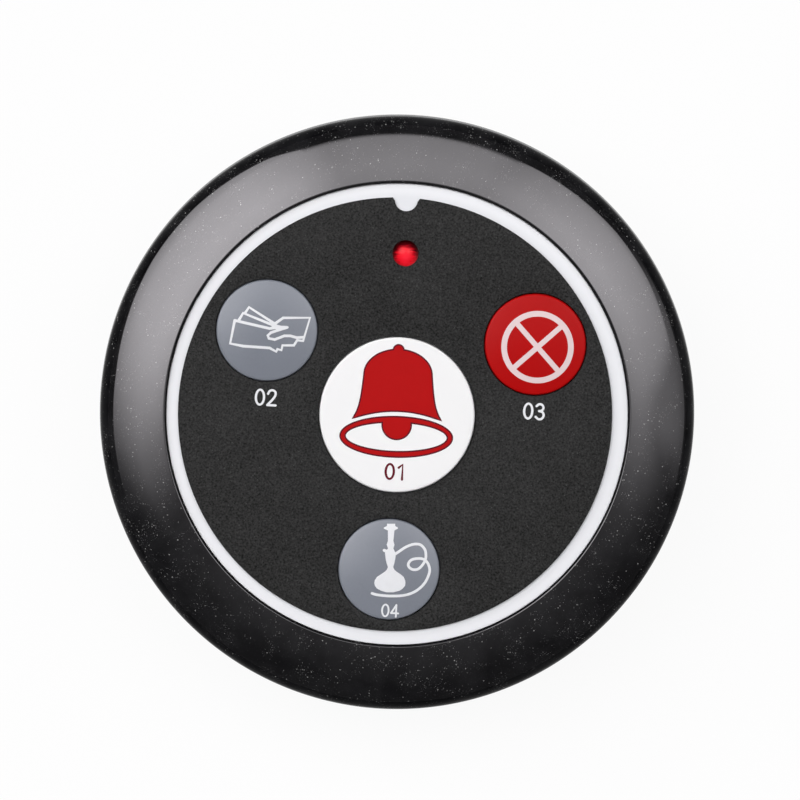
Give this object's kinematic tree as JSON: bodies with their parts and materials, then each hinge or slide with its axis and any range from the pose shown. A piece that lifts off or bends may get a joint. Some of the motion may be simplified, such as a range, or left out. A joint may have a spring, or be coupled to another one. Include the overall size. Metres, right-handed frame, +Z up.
{
  "type": "waiter call button",
  "caption": "Round battery-powered table call button: a domed bezel round a flat face with sprung keys and an indicator lamp, resting on a soft pad.",
  "frame": {"origin": "centre of the foot pad's underside, on the table", "axes": "+Z up out of the face, +Y from the middle towards the indicator lamp, +X to the right as the user reads the face"},
  "size_m": [0.06, 0.06, 0.0166],
  "materials": {
    "bezel_black": "high gloss black with fine pale flakes",
    "face_white": "satin white",
    "film_dark": "matte, fine grain",
    "cap_white": "satin white",
    "cap_grey": "satin grey",
    "cap_red": "satin red",
    "lamp_red": "clear red, polished",
    "nylon_white": "plain moulded",
    "board_green": "solder mask, satin",
    "moulded_black": "plain moulded",
    "can_nickel": "nickel plated",
    "sleeve_blue": "shrink sleeve",
    "ferrite_grey": "matte",
    "ceramic_tan": "fired",
    "copper_enamel": "enamelled copper",
    "cell_steel": "bright",
    "spring_steel": "bright, pressed",
    "tinned_steel": "tinned",
    "contact_gold": "plated",
    "cover_black": "fine spark texture",
    "pad_rubber": "closed-cell foam rubber",
    "screw_black": "blackened"
  },
  "bodies": {
    "case": {"top_shell": "bezel_black", "carrier_plate": "face_white", "face_film": "film_dark", "call_switch_dome": "spring_steel", "bill_switch_dome": "spring_steel", "cancel_switch_dome": "spring_steel", "pipe_switch_dome": "spring_steel", "call_switch_base": "moulded_black", "bill_switch_base": "moulded_black", "cancel_switch_base": "moulded_black", "pipe_switch_base": "moulded_black", "call_switch_cover": "spring_steel", "bill_switch_cover": "spring_steel", "cancel_switch_cover": "spring_steel", "pipe_switch_cover": "spring_steel", "switch_terminals": "tinned_steel", "indicator_led": "lamp_red", "led_leads": "tinned_steel", "led_spacer": "nylon_white", "circuit_board": "board_green", "encoder_chip": "moulded_black", "chip_leads": "tinned_steel", "resonator_can": "can_nickel", "transistor": "moulded_black", "filter_capacitor": "sleeve_blue", "inductor": "ferrite_grey", "chip_resistors": "moulded_black", "chip_capacitors": "ceramic_tan", "antenna_wire": "copper_enamel", "coin_cell": "cell_steel", "cell_strap": "spring_steel", "cell_contact": "contact_gold", "bottom_cover": "cover_black", "foot_pad": "pad_rubber", "cover_screws": "screw_black", "carrier_screws": "spring_steel", "board_screws": "spring_steel"},
    "call_key": {"call_button": "cap_white", "call_switch_plunger": "moulded_black"},
    "bill_key": {"bill_button": "cap_grey", "bill_switch_plunger": "moulded_black"},
    "cancel_key": {"cancel_button": "cap_red", "cancel_switch_plunger": "moulded_black"},
    "pipe_key": {"pipe_button": "cap_grey", "pipe_switch_plunger": "moulded_black"}
  },
  "joints": [
    {"name": "call_press", "type": "slide", "parent": "case", "child": "call_key", "axis": [0, 0, -1], "range_m": [0, 0.0003], "stiffness_N_per_m": 3000, "deforming": ["call_switch_dome"]},
    {"name": "bill_press", "type": "slide", "parent": "case", "child": "bill_key", "axis": [0, 0, -1], "range_m": [0, 0.0003], "stiffness_N_per_m": 3000, "deforming": ["bill_switch_dome"]},
    {"name": "cancel_press", "type": "slide", "parent": "case", "child": "cancel_key", "axis": [0, 0, -1], "range_m": [0, 0.0003], "stiffness_N_per_m": 3000, "deforming": ["cancel_switch_dome"]},
    {"name": "pipe_press", "type": "slide", "parent": "case", "child": "pipe_key", "axis": [0, 0, -1], "range_m": [0, 0.0003], "stiffness_N_per_m": 3000, "deforming": ["pipe_switch_dome"]}
  ]
}
